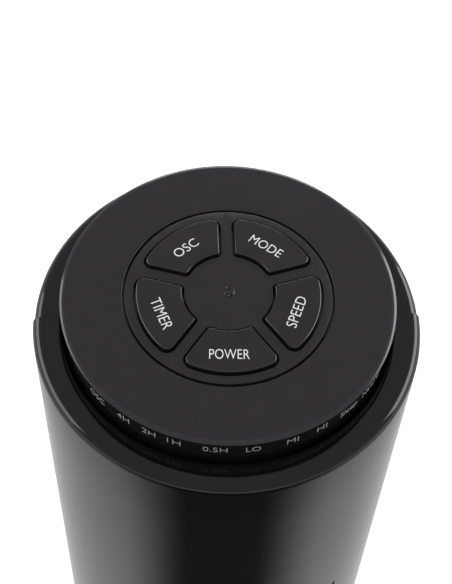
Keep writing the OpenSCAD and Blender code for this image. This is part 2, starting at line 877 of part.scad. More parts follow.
// Outline of one button around the +X axis, grown by grow
module button_outline(grow) {
  offset(r = corner, $fn = 32) offset(delta = -corner) difference() {
    circle(button_out + grow);
    circle(button_in - grow);
    rotate(36) translate([-2 * disc_r, grow - button_gap]) square([4 * disc_r, 2 * disc_r]);
    rotate(-36) translate([-2 * disc_r, button_gap - grow - 2 * disc_r]) square([4 * disc_r, 2 * disc_r]);
  }
}

// The crowned space below a surface that lies rise above the groove at the groove's radius
module below_crown(rise) {
  translate([0, 0, panel_z + rise - sqrt(plate_crown^2 - groove_r^2)]) sphere(plate_crown, $fn = 360);
}

module button_plate() {
  color("#343236") difference() {
    intersection() {
      translate([0, 0, ledge_z]) cylinder(h = 10, r = plate_r);
      below_crown(0);
    }
    for (i = [0:4]) rotate(270 + i * 72) translate([0, 0, ledge_z - cut])
      linear_extrude(12) button_outline(gap + 0.1);
  }
}

module button(index) {
  color("#38363a") rotate(270 + index * 72) {
    intersection() {
      translate([0, 0, ledge_z - gap - eps]) linear_extrude(10) button_outline(0);
      below_crown(button_rise);
    }
    translate([0, 0, ledge_z - gap - button_flange_t]) linear_extrude(button_flange_t)
      button_outline(flange_out);
    // Stem that ends in the switch, with a thicker guide above it
    stem_l = ledge_z - gap - eps - board_z - board_t - switch_h;
    translate([switch_r, 0, board_z + board_t + switch_h]) {
      translate([0, 0, -switch_grip]) cylinder(h = stem_l + switch_grip, r = stem_r, $fn = 32);
      translate([0, 0, travel + gap]) cylinder(h = stem_l - travel - gap, r = guide_r, $fn = 32);
    }
  }
}

module power_button() { button(0); }
module speed_button() { button(1); }
module mode_button() { button(2); }
module osc_button() { button(3); }
module timer_button() { button(4); }

base_plate();
base_cover();
ballast_plate();
rubber_feet();
base_screws();
cord_inlet();
swivel_bush();
osc_motor();
osc_motor_screws();
osc_pinion();
osc_shaft();
column_foot();
swivel_gear();
swivel_screws();
front_shell();
rear_shell();
front_grille();
rear_grille();
volute_wall();
tongue_wall();
carry_handle();
shell_screws();
motor_mount();
motor_grommets();
motor_screws();
motor_upper_bracket();
motor_lower_bracket();
motor_stator();
motor_windings();
motor_bushes();
power_board();
run_capacitor();
motor_cable();
control_cable();
top_bulkhead();
top_bearing();
impeller();
coupling_bush();
motor_shaft();
motor_rotor();
top_spindle();
control_housing();
display_band();
leds();
control_board();
tact_switches();
ir_receiver();
buzzer();
control_disc();
button_plate();
power_button();
speed_button();
mode_button();
osc_button();
timer_button();
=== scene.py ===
"""Tower fan: the looks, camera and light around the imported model. Front is -Y, lengths are in metres."""

import json
import math

import bmesh
import bpy
from mathutils import Matrix, Vector


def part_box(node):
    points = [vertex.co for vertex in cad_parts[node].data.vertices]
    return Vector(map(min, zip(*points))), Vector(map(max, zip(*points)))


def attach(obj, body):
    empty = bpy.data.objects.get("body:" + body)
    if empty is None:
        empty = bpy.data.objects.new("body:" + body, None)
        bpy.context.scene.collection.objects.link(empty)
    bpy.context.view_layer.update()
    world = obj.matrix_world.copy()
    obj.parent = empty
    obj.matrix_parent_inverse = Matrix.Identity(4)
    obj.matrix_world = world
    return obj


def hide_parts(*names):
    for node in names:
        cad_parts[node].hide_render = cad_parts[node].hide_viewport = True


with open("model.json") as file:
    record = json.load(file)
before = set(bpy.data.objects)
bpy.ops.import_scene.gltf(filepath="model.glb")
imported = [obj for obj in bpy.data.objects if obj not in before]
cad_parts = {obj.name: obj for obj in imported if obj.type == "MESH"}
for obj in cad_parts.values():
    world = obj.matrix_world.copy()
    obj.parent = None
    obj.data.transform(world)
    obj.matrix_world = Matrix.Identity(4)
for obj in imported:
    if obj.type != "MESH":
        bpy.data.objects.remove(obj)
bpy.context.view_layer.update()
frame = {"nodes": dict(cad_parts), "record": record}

MM = 0.001


def low(node):
    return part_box(node)[0]


def high(node):
    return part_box(node)[1]


# ---------------------------------------------------------------- sizes from the frame

PANEL_Z = high("control_disc").z
DISC_R = high("control_disc").x
LEDGE_Z = low("button_plate").z
PLATE_R = high("button_plate").x
GROOVE = 1.0 * MM
BAND_R = DISC_R - 0.7 * MM
BAND_LOW = low("display_band").z
FRONT_R = high("front_shell").x
REAR_R = high("rear_shell").x
SHOULDER_Z = high("front_shell").z
COLUMN_Z = low("front_shell").z
GRILLE_LOW = low("front_grille").z
GRILLE_HIGH = high("front_grille").z
BASE_R = high("base_cover").x
BASE_LOW = low("base_cover").z
BASE_TOP = high("base_cover").z

# Panel details
CROWN_R = 516 * MM
DISC_FALL = 0.15 * MM
RIM_W = 2.2 * MM
RIM_H = 0.8 * MM
LIP = 1.2 * MM
DISC_DEPTH = 4.5 * MM
SKIRT_R = 58.3 * MM
LEDGE_IN = 37.6 * MM
KEY_IN = 18.0 * MM
KEY_OUT = 35.6 * MM
KEY_GAP = 3.1 * MM
KEY_RISE = 1.3 * MM
KEY_EDGE = 0.6 * MM
KEY_CORNER = 2.9 * MM
KEY_CORNER_IN = 1.1 * MM
KEY_FLANGE = 1.5 * MM
SHADOW_GAP = 1.0 * MM
HOLE_R = DISC_R + 0.8 * MM
SHELL_T = 2.4 * MM
SHOULDER_EDGE = 4.3 * MM
RECESS_EDGE = 2.5 * MM
WALL_TOP = 0.75
OUTLET_HALF = 42
INTAKE_HALF = 60


# ---------------------------------------------------------------- materials


class Nodes:
    """A short way to write a node tree."""

    def __init__(self, name):
        self.material = bpy.data.materials.new(name)
        self.material.use_nodes = True
        self.tree = self.material.node_tree
        self.shader = self.tree.nodes["Principled BSDF"]
        self.place = self.tree.nodes.new("ShaderNodeTexCoord").outputs["Object"]

    def add(self, kind, **values):
        node = self.tree.nodes.new(kind)
        for key, value in values.items():
            if hasattr(node, key):
                setattr(node, key, value)
            else:
                node.inputs[key].default_value = value
        return node

    def join(self, out, socket):
        self.tree.links.new(out, socket)

    def noise(self, size, detail=2.0, stretch=None):
        """Noise whose features are about size metres across."""
        node = self.add("ShaderNodeTexNoise", Scale=1 / size, Detail=detail, Roughness=0.55)
        place = self.place
        if stretch:
            mapping = self.add("ShaderNodeMapping")
            mapping.inputs["Scale"].default_value = stretch
            self.join(place, mapping.inputs["Vector"])
            place = mapping.outputs["Vector"]
        self.join(place, node.inputs["Vector"])
        return node.outputs["Fac"]

    def between(self, factor, a, b):
        node = self.add("ShaderNodeMapRange")
        node.inputs["From Min"].default_value = 0.3
        node.inputs["From Max"].default_value = 0.7
        node.inputs["To Min"].default_value = a
        node.inputs["To Max"].default_value = b
        self.join(factor, node.inputs["Value"])
        return node.outputs["Result"]

    def colours(self, factor, a, b):
        node = self.add("ShaderNodeValToRGB")
        node.color_ramp.elements[0].position = 0.3
        node.color_ramp.elements[1].position = 0.7
        node.color_ramp.elements[0].color = (*a, 1)
        node.color_ramp.elements[1].color = (*b, 1)
        self.join(factor, node.inputs["Fac"])
        return node.outputs["Color"]

    def bump(self, height, depth, after=None):
        node = self.add("ShaderNodeBump", Distance=depth, Strength=1.0)
        self.join(height, node.inputs["Height"])
        if after:
            self.join(after, node.inputs["Normal"])
        return node.outputs["Normal"]


def finish(name, colour, rough, spread=0.25, patch=0.02, grain=0.0004, grain_depth=0.0, wave=0.0,
           wave_size=0.012, tone=0.15, metal=0.0, stretch=None, level=0.5):
    """Moulded or worked surface: patchy roughness, a fine grain, a soft wave and a little change of tone."""
    n = Nodes(name)
    n.shader.inputs["Metallic"].default_value = metal
    n.shader.inputs["Specular IOR Level"].default_value = level
    patches = n.noise(patch, 4.0, stretch)
    n.join(n.between(patches, rough * (1 - spread), rough * (1 + spread)), n.shader.inputs["Roughness"])
    dark = [c * (1 - tone) for c in colour]
    light = [c * (1 + tone) for c in colour]
    n.join(n.colours(n.noise(patch * 0.35, 5.0, stretch), dark, light), n.shader.inputs["Base Color"])
    normal = None
    if wave:
        normal = n.bump(n.noise(wave_size, 1.0), wave)
    if grain_depth:
        normal = n.bump(n.noise(grain, 2.0, stretch), grain_depth, normal)
    if normal:
        n.join(normal, n.shader.inputs["Normal"])
    return n.material


def winding_material(name, colour):
    """Enamelled wire: fine rings wound round the core."""
    n = Nodes(name)
    n.shader.inputs["Metallic"].default_value = 0.9
    wave = n.add("ShaderNodeTexWave", wave_type="RINGS", rings_direction="Z", Scale=260, Distortion=1.2)
    n.join(n.place, wave.inputs["Vector"])
    n.join(n.colours(wave.outputs["Fac"], [c * 0.6 for c in colour], colour), n.shader.inputs["Base Color"])
    n.join(n.bump(wave.outputs["Fac"], 0.0003), n.shader.inputs["Normal"])
    n.join(n.between(n.noise(0.003), 0.25, 0.4), n.shader.inputs["Roughness"])
    return n.material


def board_material(name, colour):
    """Circuit board: solder mask with lighter tracks."""
    n = Nodes(name)
    cells = n.add("ShaderNodeTexVoronoi", feature="DISTANCE_TO_EDGE", distance="MANHATTAN", Scale=170)
    n.join(n.place, cells.inputs["Vector"])
    track = n.between(cells.outputs["Distance"], 0.0, 1.0)
    n.join(n.colours(track, [c * 2.2 for c in colour], colour), n.shader.inputs["Base Color"])
    n.join(n.bump(track, 0.00005), n.shader.inputs["Normal"])
    n.join(n.between(n.noise(0.01), 0.25, 0.4), n.shader.inputs["Roughness"])
    return n.material


GLOSS = finish("gloss_black_shell", (0.0022, 0.0022, 0.0023), 0.085, wave=0.00002, wave_size=0.018,
               grain=0.0009, grain_depth=0.0000006)
PANEL = finish("satin_panel", (0.0088, 0.0078, 0.0093), 0.34, spread=0.12, grain=0.00035,
               grain_depth=0.000012, wave=0.00001, wave_size=0.02)
KEYS = finish("satin_keys", (0.0092, 0.0082, 0.0098), 0.24, spread=0.12, grain=0.00035, grain_depth=0.000004)
BAND = finish("smoked_band", (0.005, 0.005, 0.005), 0.07, patch=0.01)
POLISH = finish("polished_bevel", (0.0095, 0.0087, 0.01), 0.15, spread=0.2, patch=0.01, grain=0.0006,
                grain_depth=0.000001, level=0.75)
INK = finish("printed_ink", (0.62, 0.62, 0.63), 0.45, patch=0.002, grain=0.0002, grain_depth=0.000008,
             tone=0.06)
BAND_INK = finish("printed_band_ink", (0.3, 0.3, 0.3), 0.45, patch=0.002, grain=0.0002,
                  grain_depth=0.000008, tone=0.1)
SATIN = finish("satin_black", (0.012, 0.012, 0.0125), 0.42, grain=0.0004, grain_depth=0.000015)
INNER = finish("inner_plastic", (0.02, 0.02, 0.021), 0.5, grain=0.0005, grain_depth=0.00002)
RUBBER = finish("rubber", (0.012, 0.012, 0.012), 0.75, grain=0.0006, grain_depth=0.00005, tone=0.3)
STEEL = finish("zinc_steel", (0.5, 0.5, 0.51), 0.28, metal=1.0, grain=0.0003, grain_depth=0.00001,
               stretch=(1, 1, 12))
LAMINATION = finish("laminations", (0.16, 0.16, 0.17), 0.35, metal=1.0, grain=0.0005, grain_depth=0.00012,
                    stretch=(0.02, 0.02, 1))
CASTING = finish("cast_brackets", (0.55, 0.55, 0.56), 0.42, metal=1.0, grain=0.0012, grain_depth=0.00006)
COPPER = winding_material("copper_windings", (0.6, 0.24, 0.08))
BRONZE = finish("sintered_bronze", (0.42, 0.3, 0.14), 0.4, metal=1.0, grain=0.0003, grain_depth=0.00003)
ACETAL = finish("acetal", (0.66, 0.64, 0.58), 0.38, grain=0.0006, grain_depth=0.00001, level=0.45)
CIRCUIT = board_material("circuit_board", (0.015, 0.09, 0.035))
WHITE = finish("moulded_white", (0.74, 0.73, 0.69), 0.3, grain=0.0008, grain_depth=0.00001)

SLOT_MATERIAL = {
    "gloss_black": GLOSS, "panel_grey": PANEL, "button_grey": KEYS, "band_black": BAND,
    "satin_black": SATIN, "inner_plastic": INNER, "acetal": ACETAL, "rubber": RUBBER, "steel": STEEL,
    "laminations": LAMINATION, "casting": CASTING, "copper": COPPER, "bronze": BRONZE,
    "circuit": CIRCUIT, "white_part": WHITE,
}


def dress_frame():
    """Gives every carried-over CAD node the material of its slot."""
    for part in frame["record"]["subparts"]:
        data = frame["nodes"][part["node"]].data
        data.materials.clear()
        data.materials.append(SLOT_MATERIAL[part["material_slot"]])


# ---------------------------------------------------------------- mesh tools


def piece(name, verts, faces, material, body, replaces=(), sharp=35):
    """Makes a smooth-shaded mesh with sharp edges above an angle, and puts it on its body."""
    mesh = bpy.data.meshes.new(name)
    mesh.from_pydata([tuple(v) for v in verts], [], faces)
    mesh.validate()
    build = bmesh.new()
    build.from_mesh(mesh)
    bmesh.ops.remove_doubles(build, verts=build.verts, dist=1e-6)
    bmesh.ops.recalc_face_normals(build, faces=build.faces)
    build.to_mesh(mesh)
    build.free()
    return add_piece(name, mesh, material, body, replaces, sharp)


def add_piece(name, mesh, material, body, replaces=(), sharp=35):
    mesh.polygons.foreach_set("use_smooth", [True] * len(mesh.polygons))
    mesh.set_sharp_from_angle(angle=math.radians(sharp))
    mesh.materials.clear()
    mesh.materials.append(material)
    made = bpy.data.objects.new(name, mesh)
    bpy.context.scene.collection.objects.link(made)
    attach(made, body)
    if replaces:
        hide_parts(*replaces)
    return made


def polish_bevels(made):
    """Gives the tilted upper faces of a piece the polished finish."""
    made.data.materials.append(POLISH)
    for face in made.data.polygons:
        if 0.15 < face.normal.z < 0.985:
            face.material_index = 1


def polar(radius, degrees, z=0.0):
    a = math.radians(degrees)
    return Vector((radius * math.cos(a), radius * math.sin(a), z))


def arc(cx, cz, radius, start, end, steps=8):
    """Points of an arc in the (r, z) plane."""
    angles = [math.radians(start + (end - start) * i / steps) for i in range(steps + 1)]
    return [(cx + radius * math.cos(a), cz + radius * math.sin(a)) for a in angles]


def round_corners(points, radius, steps=4):
    """A closed (r, z) outline with rounded corners. A point's third place is that corner's own radius."""
    out = []
    count = len(points)
    for i, point in enumerate(points):
        here = Vector(point[:2])
        size = point[2] if len(point) > 2 else radius
        to_last = (Vector(points[i - 1][:2]) - here)
        to_next = (Vector(points[(i + 1) % count][:2]) - here)
        half = to_last.angle(to_next) / 2
        if size <= 0 or abs(half - math.pi / 2) < 0.02:
            out.append(tuple(here))
            continue
        reach = min(size / math.tan(half), 0.49 * to_last.length, 0.49 * to_next.length)
        a = here + to_last.normalized() * reach
        b = here + to_next.normalized() * reach
        for k in range(steps + 1):
            t = k / steps
            out.append(tuple(a * (1 - t) ** 2 + here * 2 * t * (1 - t) + b * t ** 2))
    return out


def revolve(outline, steps=240):
    """Verts and faces of a closed (r, z) outline turned full circle."""
    count = len(outline)
    verts = [polar(r, 360 * i / steps, z) for i in range(steps) for r, z in outline]
    faces = []
    for i in range(steps):
        here, there = i * count, (i + 1) % steps * count
        for j in range(count):
            k = (j + 1) % count
            faces.append((here + j, there + j, there + k, here + k))
    return verts, faces


def thick_sheet(outer, inner, kept, full_turn=False):
    """A sheet between two grids of points, outer[i][j] and inner[i][j]. Cells where kept(i, j) is false are
    left out, and every open edge is closed by a wall. With full_turn the last row lies on the first."""
    rows, columns = len(outer), len(outer[0])
    verts = [p for row in outer for p in row] + [p for row in inner for p in row]
    shift = rows * columns

    def is_kept(i, j):
        if full_turn:
            i %= rows - 1
        return 0 <= i < rows - 1 and 0 <= j < columns - 1 and kept(i, j)

    faces = []
    for i in range(rows - 1):
        for j in range(columns - 1):
            if not is_kept(i, j):
                continue
            a, b = i * columns + j, i * columns + j + 1
            d, c = a + columns, b + columns
            faces.append((a, b, c, d))
            faces.append((a + shift, d + shift, c + shift, b + shift))
            sides = [(a, b, i - 1, j), (b, c, i, j + 1), (c, d, i + 1, j), (d, a, i, j - 1)]
            for p, q, ni, nj in sides:
                if not is_kept(ni, nj):
                    faces.append((q, p, p + shift, q + shift))
    return verts, faces


def soften(made, width, segments=3, angle=40):
    """Rounds the hard edges of a piece."""
    bevel = made.modifiers.new("soft_edges", "BEVEL")
    bevel.width = width
    bevel.segments = segments
    bevel.limit_method = "ANGLE"
    bevel.angle_limit = math.radians(angle)
    bevel.harden_normals = False
    return made


def bars(boxes):
    """Verts and faces of many eight-cornered bars."""
    verts, faces = [], []
    for corners in boxes:
        s = len(verts)
        verts += corners
        faces += [(s, s + 1, s + 2, s + 3), (s + 7, s + 6, s + 5, s + 4), (s, s + 4, s + 5, s + 1),
                  (s + 1, s + 5, s + 6, s + 2), (s + 2, s + 6, s + 7, s + 3), (s + 3, s + 7, s + 4, s)]
    return verts, faces


# ---------------------------------------------------------------- control panel


def crown(radius, rise=0.0):
    """Height of the crowned middle of the panel at a radius, rise above the plate."""
    groove = PLATE_R + GROOVE / 2
    return PANEL_Z + rise + math.sqrt(CROWN_R ** 2 - radius ** 2) - math.sqrt(CROWN_R ** 2 - groove ** 2)


def make_disc():
    edge_z = PANEL_Z - DISC_FALL
    inner = PLATE_R + GROOVE
    rim_in = DISC_R - RIM_W
    bottom = PANEL_Z - DISC_DEPTH
    bend = (RIM_W ** 2 + RIM_H ** 2) / (2 * RIM_H)
    sweep = math.degrees(math.asin(RIM_W / bend))
    slope = [(inner + (rim_in - inner) * i / 6, PANEL_Z - DISC_FALL * (i / 6) ** 1.5) for i in range(1, 6)]
    outline = [
        (inner, LEDGE_Z),
        *arc(inner + 0.22 * MM, PANEL_Z - 0.22 * MM, 0.22 * MM, 180, 90, 5),
        *slope,
        *arc(rim_in, edge_z - bend, bend, 90, 90 - sweep * 0.93, 9),
        *arc(DISC_R - 0.15 * MM, edge_z - RIM_H - 0.02 * MM, 0.15 * MM, 35, -90, 5),
        (DISC_R - 2.6 * MM, edge_z - LIP),
        (SKIRT_R, edge_z - LIP),
        (SKIRT_R, bottom),
        (LEDGE_IN, bottom),
        (LEDGE_IN, LEDGE_Z),
    ]
    verts, faces = revolve(outline, 288)
    made = piece("panel_disc", verts, faces, PANEL, "column", ["control_disc"], 50)
    polish_bevels(made)


def fillet(centre, start, end, radius, steps):
    return [centre + polar(radius, start + (end - start) * i / steps) for i in range(steps + 1)]


def key_outline(inset, arc_steps=28, corner_steps=7):
    """Outline of a key about +X: two arcs and two straight sides, with round corners."""
    outer, inner, gap = KEY_OUT - inset, KEY_IN + inset, KEY_GAP + inset
    along, across = polar(1, 36), polar(1, 126)
    points = []
    corner = max(KEY_CORNER - inset, 0.2 * MM)
    centre = along * math.sqrt((outer - corner) ** 2 - (gap + corner) ** 2) - across * (gap + corner)
    reach = math.degrees(math.atan2(centre.y, centre.x))
    points += [polar(outer, reach * i / arc_steps) for i in range(arc_steps)]
    points += fillet(centre, reach, 126, corner, corner_steps)
    corner = max(KEY_CORNER_IN - inset, 0.15 * MM)
    centre = along * math.sqrt((inner + corner) ** 2 - (gap + corner) ** 2) - across * (gap + corner)
    reach = math.degrees(math.atan2(centre.y, centre.x))
    points += fillet(centre, 126, reach + 180, corner, corner_steps)
    points += [polar(inner, reach * (1 - i / arc_steps)) for i in range(1, arc_steps + 1)]
    mirrored = [Vector((p.x, -p.y, 0)) for p in reversed(points[1:-1])]
    return points + mirrored


def make_key(name, angle):
    turn = Matrix.Rotation(math.radians(angle), 3, "Z")
    centre = polar((KEY_IN + KEY_OUT) / 2, 0)
    flange = key_outline(-KEY_FLANGE)
    loops = [(flange, LEDGE_Z - 1.5 * MM, None), (flange, LEDGE_Z - 0.3 * MM, None),
             (key_outline(0), LEDGE_Z - 0.3 * MM, None), (key_outline(0), 0.0, KEY_EDGE)]
    bend = 6
    for i in range(1, bend + 1):
        a = math.pi / 2 * i / bend
        loops.append((key_outline(KEY_EDGE * (1 - math.cos(a))), 0.0, KEY_EDGE * (1 - math.sin(a))))
    rim = key_outline(KEY_EDGE)
    for share in (0.93, 0.8, 0.6, 0.4, 0.2):
        loops.append(([centre + (p - centre) * share for p in rim], 0.0, 0.0))
    count = len(rim)
    verts, faces = [], []
    for points, z, drop in loops:
        for p in points:
            height = z if drop is None else crown(p.length, KEY_RISE) - drop
            verts.append(turn @ Vector((p.x, p.y, height)))
    for k in range(len(loops) - 1):
        for j in range(count):
            i = (j + 1) % count
            faces.append((k * count + j, k * count + i, (k + 1) * count + i, (k + 1) * count + j))
    verts.append(turn @ Vector((centre.x, centre.y, crown(centre.x, KEY_RISE))))
    last = (len(loops) - 1) * count
    faces += [(last + j, last + (j + 1) % count, len(verts) - 1) for j in range(count)]
    faces.append(tuple(reversed(range(count))))
    made = piece(name + "_key", verts, faces, KEYS, name + "_button", [name + "_button"], 60)
    polish_bevels(made)


def make_plate():
    """The crowned plate with a window for each key."""
    build = bmesh.new()
    rings = [[polar(PLATE_R - 0.15 * MM, 360 * i / 240) for i in range(240)]]
    for index in range(5):
        turn = Matrix.Rotation(math.radians(270 + 72 * index), 3, "Z")
        rings.append([turn @ p for p in key_outline(-SHADOW_GAP)])
    edges = []
    for points in rings:
        made = [build.verts.new(p) for p in points]
        edges += [build.edges.new((made[i], made[(i + 1) % len(made)])) for i in range(len(made))]
    bmesh.ops.triangle_fill(build, edges=edges, use_beauty=True)
    step = 5 * MM
    for axis in (Vector((1, 0, 0)), Vector((0, 1, 0))):
        for k in range(-8, 9):
            everything = list(build.verts) + list(build.edges) + list(build.faces)
            middle = axis * (k * step + 0.1 * MM)
            bmesh.ops.bisect_plane(build, geom=everything, plane_co=middle, plane_no=axis)
    bmesh.ops.recalc_face_normals(build, faces=build.faces)
    if sum(f.normal.z for f in build.faces) < 0:
        bmesh.ops.reverse_faces(build, faces=build.faces)
    rim = [e for e in build.edges if e.is_boundary]
    for vert in build.verts:
        vert.co.z = crown(min(vert.co.length, PLATE_R))
    # Each open edge turns down in a small round and then runs straight to the underside
    grown = 0.0
    for drop, grow in ((0.045 * MM, 0.105 * MM), (0.15 * MM, 0.15 * MM), (2.4 * MM, 0.15 * MM)):
        made = bmesh.ops.extrude_edge_only(build, edges=rim)["geom"]
        verts = {g for g in made if isinstance(g, bmesh.types.BMVert)}
        rim = [g for g in made if isinstance(g, bmesh.types.BMEdge) and set(g.verts) <= verts]
        for vert in verts:
            flat = Vector((vert.co.x, vert.co.y, 0))
            vert.co.z = crown(min(flat.length, PLATE_R)) - drop
            if flat.length > PLATE_R - 1 * MM:
                vert.co += flat.normalized() * (grow - grown)
        grown = grow
    mesh = bpy.data.meshes.new("panel_plate")
    build.to_mesh(mesh)
    build.free()
    add_piece("panel_plate", mesh, PANEL, "column", ["button_plate"], 50)


def make_gate_mark():
    """The moulding mark in the middle of the plate: a ragged crater with a nub."""
    heights = [(0.3, 0.5), (0.6, 0.4), (0.85, -0.02), (1.25, -0.02), (1.55, 0.36), (1.85, 0.38), (2.2, -0.05)]
    top = crown(0)
    steps = 40
    verts, faces = [Vector((0, 0, top + 0.46 * MM))], []
    for k, (r, h) in enumerate(heights):
        for i in range(steps):
            turn = 2 * math.pi * i / steps
            wobble = 1 + 0.14 * math.sin(3 * turn + 1.3 * k) + 0.06 * math.sin(7 * turn + k)
            lift = h if k == len(heights) - 1 else h * (1 + 0.4 * math.sin(2 * turn + 0.7 * k))
            p = polar(r * MM * wobble, 360 * i / steps)
            verts.append(Vector((p.x, p.y, top + lift * MM)))
    faces += [(0, 1 + i, 1 + (i + 1) % steps) for i in range(steps)]
    for k in range(len(heights) - 1):
        here, there = 1 + k * steps, 1 + (k + 1) * steps
        for i in range(steps):
            after = (i + 1) % steps
            faces.append((here + i, there + i, there + after, here + after))
    faces.append(tuple(1 + (len(heights) - 1) * steps + i for i in range(steps)))
    piece("gate_mark", verts, faces, KEYS, "column", (), 70)


def lettering(text, width, height):
    """Flat letters as a mesh, centred on the origin and scaled to a size."""
    curve = bpy.data.curves.new("letters", "FONT")
    curve.body = text
    curve.resolution_u = 4
    curve.offset = -0.008
    maker = bpy.data.objects.new("letters", curve)
    bpy.context.scene.collection.objects.link(maker)
    bpy.context.view_layer.update()
    mesh = bpy.data.meshes.new_from_object(maker.evaluated_get(bpy.context.evaluated_depsgraph_get()))
    bpy.data.objects.remove(maker)
    bpy.data.curves.remove(curve)
    xs = [v.co.x for v in mesh.vertices]
    ys = [v.co.y for v in mesh.vertices]
    capital = max(ys) if "p" in text else max(ys) - min(ys)
    base = 0.0 if "p" in text else min(ys)
    for v in mesh.vertices:
        v.co.x = (v.co.x - (min(xs) + max(xs)) / 2) * width / (max(xs) - min(xs))
        v.co.y = (v.co.y - base - capital / 2) * height / capital
    return mesh


def print_on(name, text, width, height, place, material, body):
    """Prints letters as a thin layer: place(x, y, lift) gives the point on the surface."""
    mesh = lettering(text, width, height)
    build = bmesh.new()
    build.from_mesh(mesh)
    bmesh.ops.remove_doubles(build, verts=build.verts, dist=1e-6)
    bmesh.ops.recalc_face_normals(build, faces=build.faces)
    if sum(f.normal.z for f in build.faces) < 0:
        bmesh.ops.reverse_faces(build, faces=build.faces)
    for k in range(-8, 9):
        everything = list(build.verts) + list(build.edges) + list(build.faces)
        bmesh.ops.bisect_plane(build, geom=everything, plane_co=(k * 0.9 * MM, 0, 0), plane_no=(1, 0, 0))
    top = list(build.faces)
    made = bmesh.ops.extrude_face_region(build, geom=top)["geom"]
    raised = {g for g in made if isinstance(g, bmesh.types.BMVert)}
    for vert in build.verts:
        vert.co = place(vert.co.x, vert.co.y, 0.06 * MM if vert in raised else -0.03 * MM)
    bmesh.ops.recalc_face_normals(build, faces=build.faces)
    build.to_mesh(mesh)
    build.free()
    add_piece(name, mesh, material, body, (), 30)


KEY_WORDS = [
    # name, word, turn of the key, middle of the word, its radius, 1 if it reads from the front, width
    ("power", "POWER", 270, 268.6, 28.2, 1, 15.0),
    ("speed", "SPEED", 342, 339.0, 27.2, 1, 14.4),
    ("mode", "MODE", 54, 54.2, 26.2, -1, 14.2),
    ("osc", "OSC", 126, 128.0, 26.2, -1, 10.8),
    ("timer", "TIMER", 198, 201.0, 27.6, 1, 14.4),
]
CAPITAL = 4.1 * MM


def make_keys():
    for name, word, turn, middle, radius, inward, width in KEY_WORDS:
        make_key(name, turn)
        centre = polar(radius * MM, middle)
        reading = polar(1, middle + 90 * inward)
        upward = polar(1, middle + (180 if inward > 0 else 0))

        def place(x, y, lift, centre=centre, reading=reading, upward=upward):
            p = centre + reading * x + upward * y
            return Vector((p.x, p.y, crown(p.length, KEY_RISE) + lift))

        print_on(name + "_word", word, width * MM, CAPITAL, place, INK, name + "_button")


BAND_WORDS = [
    # word, its middle round the band, width, how far its middle is below the panel
    ("OSC", -140.9, 8.2, 6.7), ("4H", -128.7, 5.6, 5.9), ("2H", -118.7, 5.6, 5.9), ("1H", -109.8, 5.2, 5.9),
    ("0.5H", -96.1, 9.0, 5.9), ("LO", -83.6, 5.5, 5.9), ("MI", -70.3, 4.6, 5.9), ("HI", -59.4, 4.4, 5.9),
    ("Sleep", -47.7, 9.0, 6.3), ("Natural", -34.9, 12.4, 6.7),
]
BAND_CAPITAL = 3.3 * MM


def make_band():
    inner = BAND_R - 2.2 * MM
    top = PANEL_Z - DISC_FALL - LIP - 0.1 * MM
    outline = round_corners([(inner, BAND_LOW), (BAND_R, BAND_LOW), (BAND_R, top), (inner, top)], 0.15 * MM)
    verts, faces = revolve(outline, 288)
    piece("band", verts, faces, BAND, "column", ["display_band"], 50)
    for word, middle, width, drop in BAND_WORDS:

        def place(x, y, lift, middle=middle, drop=drop):
            return polar(BAND_R + lift, middle + math.degrees(x / BAND_R), PANEL_Z - drop * MM + y)

        name = "band_word_" + word.replace(".", "_")
        print_on(name, word, width * MM, BAND_CAPITAL, place, BAND_INK, "column")


# ---------------------------------------------------------------- shells


def shell_profile(radius, top, inset):
    """Points up the wall, round the edge and in over the shoulder, inset from the outer surface."""
    edge = SHOULDER_EDGE - inset
    r, z = radius - inset, top - inset
    wall = [COLUMN_Z, COLUMN_Z + 0.03, GRILLE_LOW - 0.3 * MM]
    wall += [GRILLE_LOW + (GRILLE_HIGH - GRILLE_LOW) * i / 12 for i in range(1, 12)]
    recess = [low("carry_handle").z + RECESS_EDGE, high("carry_handle").z - RECESS_EDGE]
    wall += [GRILLE_HIGH + 0.3 * MM, *recess, WALL_TOP]
    points = [(r, w) for w in wall]
    points += arc(r - edge, z - edge, edge, 0, 90, 12)
    inner_r = HOLE_R + (0.35 * MM if inset == 0 else 0)
    points += [(r - edge + (inner_r - r + edge) * i / 3, z) for i in range(1, 4)]
    if inset == 0:
        points += arc(inner_r, z - 0.35 * MM, 0.35 * MM, 112, 180, 3)
    else:
        points += [(HOLE_R, z + i * 0.02 * MM) for i in range(1, 5)]
    return points


def make_shell(name, radius, top, angles, left_out, node):
    """A half of the column: left_out(degrees, z) says where it is open."""
    outer = shell_profile(radius, top, 0)
    inner = shell_profile(radius, top, SHELL_T)
    grid_out = [[polar(r, a, z) for r, z in outer] for a in angles]
    grid_in = [[polar(r, a, z) for r, z in inner] for a in angles]

    def kept(i, j):
        return not left_out((angles[i] + angles[i + 1]) / 2, (outer[j][1] + outer[j + 1][1]) / 2)

    verts, faces = thick_sheet(grid_out, grid_in, kept)
    made = piece(name, verts, faces, GLOSS, "column", [node], 40)
    return soften(made, 0.45 * MM)


def even(start, end, stops, step=2.0):
    """Angles from start to end at about a step, with the stops among them."""
    marks = sorted({start, end, *stops})
    out = [marks[0]]
    for a, b in zip(marks, marks[1:]):
        count = max(1, round((b - a) / step))
        out += [a + (b - a) * i / count for i in range(1, count + 1)]
    return out


